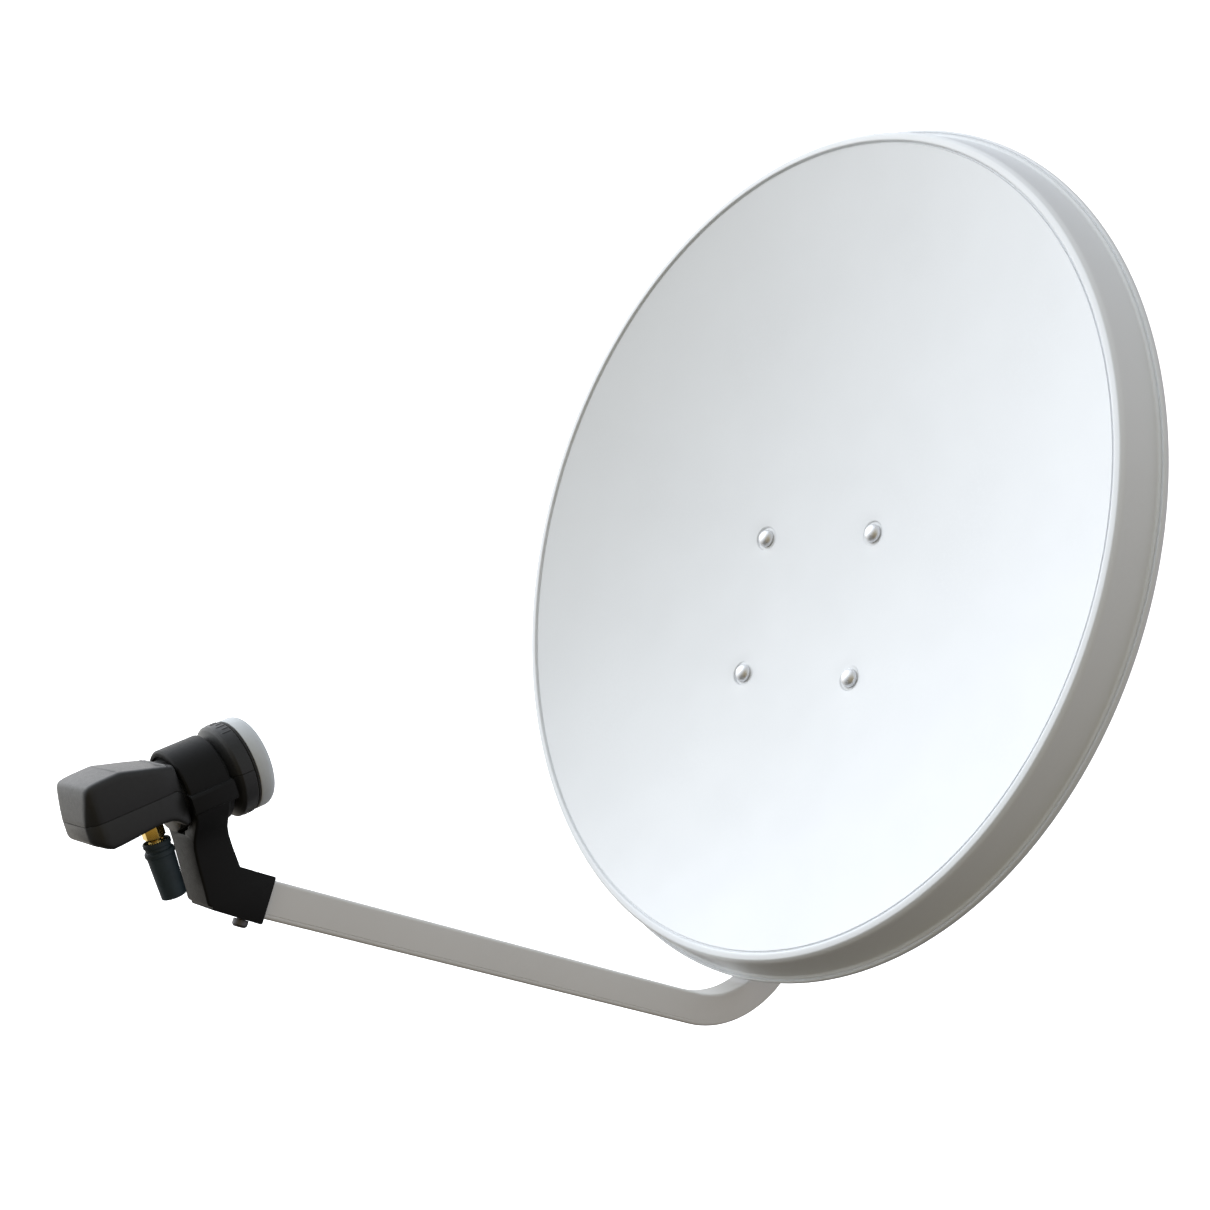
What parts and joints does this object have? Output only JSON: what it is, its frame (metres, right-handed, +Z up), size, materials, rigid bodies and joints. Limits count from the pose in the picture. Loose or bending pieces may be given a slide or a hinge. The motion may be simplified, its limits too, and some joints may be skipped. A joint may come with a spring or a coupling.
{
  "type": "satellite dish",
  "caption": "Offset satellite dish with pressed reflector, bent feed arm, clamped low-noise converter with F connector and boot, and a tilting mast clamp.",
  "frame": {"origin": "on the mast's axis, halfway up the clamp", "axes": "+Z up along the mast, the dish looks along -Y, +X to the right when facing the dish's front"},
  "size_m": [0.601, 0.7498, 0.6551],
  "materials": {
    "reflector_paint": "satin light grey powder coat",
    "bracket_paint": "satin grey powder coat",
    "arm_paint": "satin warm grey powder coat",
    "black_plastic": "moulded, fine texture",
    "converter_plastic": "moulded, fine texture",
    "cap_plastic": "pale grey moulded",
    "seal_rubber": "matte",
    "boot_rubber": "matte dark slate",
    "zinc_steel": "bright zinc plate",
    "cast_metal": "as cast",
    "gold_plate": "gold-plated brass",
    "board": "solder mask"
  },
  "bodies": {
    "mast_mount": {"mast_bracket": "bracket_paint", "jaw_front": "zinc_steel", "clamp_bolt_left": "zinc_steel", "clamp_bolt_right": "zinc_steel"},
    "rear_jaw": {"jaw_rear": "zinc_steel", "clamp_washer_left": "zinc_steel", "clamp_washer_right": "zinc_steel", "clamp_nut_left": "zinc_steel", "clamp_nut_right": "zinc_steel"},
    "dish": {"reflector": "reflector_paint", "reflector_bolt_1": "zinc_steel", "reflector_nut_1": "zinc_steel", "reflector_bolt_2": "zinc_steel", "reflector_nut_2": "zinc_steel", "reflector_bolt_3": "zinc_steel", "reflector_nut_3": "zinc_steel", "reflector_bolt_4": "zinc_steel", "reflector_nut_4": "zinc_steel", "back_plate": "bracket_paint", "feed_arm": "arm_paint", "arm_end_plug": "black_plastic", "arm_bolt_upper": "zinc_steel", "arm_bolt_lower": "zinc_steel", "arm_nut_upper": "zinc_steel", "arm_nut_lower": "zinc_steel", "lnb_holder_base": "black_plastic", "holder_screw": "zinc_steel", "pivot_bolt": "zinc_steel", "pivot_nut": "zinc_steel", "lock_bolt_left": "zinc_steel", "lock_bolt_right": "zinc_steel", "lock_nut_left": "zinc_steel", "lock_nut_right": "zinc_steel"},
    "holder_cap": {"lnb_holder_cap": "black_plastic"},
    "converter": {"lnb_upper_shell": "converter_plastic", "lnb_lower_shell": "converter_plastic", "lnb_feedhorn": "cast_metal", "lnb_horn_cap": "cap_plastic", "lnb_seal_ring": "seal_rubber", "lnb_circuit_board": "board", "lnb_probe_vertical": "gold_plate", "lnb_probe_horizontal": "gold_plate", "lnb_f_port": "gold_plate", "f_connector_barrel": "gold_plate"},
    "connector_nut": {"f_connector_nut": "gold_plate"},
    "boot": {"weather_boot": "boot_rubber"}
  },
  "joints": [
    {"name": "elevation_tilt", "type": "hinge", "parent": "mast_mount", "child": "dish", "pos_m": [0, -0.071, 0.011], "axis": [-1, 0, 0], "range_deg": [-17, 22]},
    {"name": "rear_jaw_slide", "type": "slide", "parent": "mast_mount", "child": "rear_jaw", "axis": [0, 1, 0], "range_m": [-0.018, 0.016]},
    {"name": "holder_cap_lift", "type": "slide", "parent": "dish", "child": "holder_cap", "axis": [0, -0.32, 0.9474], "range_m": [0, 0.03]},
    {"name": "converter_skew", "type": "hinge", "parent": "dish", "child": "converter", "pos_m": [0, -0.61336, -0.1007], "axis": [0, 0.9474, 0.32], "range_deg": [-35, 35]},
    {"name": "connector_nut_spin", "type": "hinge", "parent": "converter", "child": "connector_nut", "pos_m": [0, -0.63584, -0.12412], "axis": [0, -0.32, 0.9474], "continuous": true},
    {"name": "boot_slide", "type": "slide", "parent": "converter", "child": "boot", "axis": [0, -0.32, 0.9474], "range_m": [0, 0.009]}
  ]
}
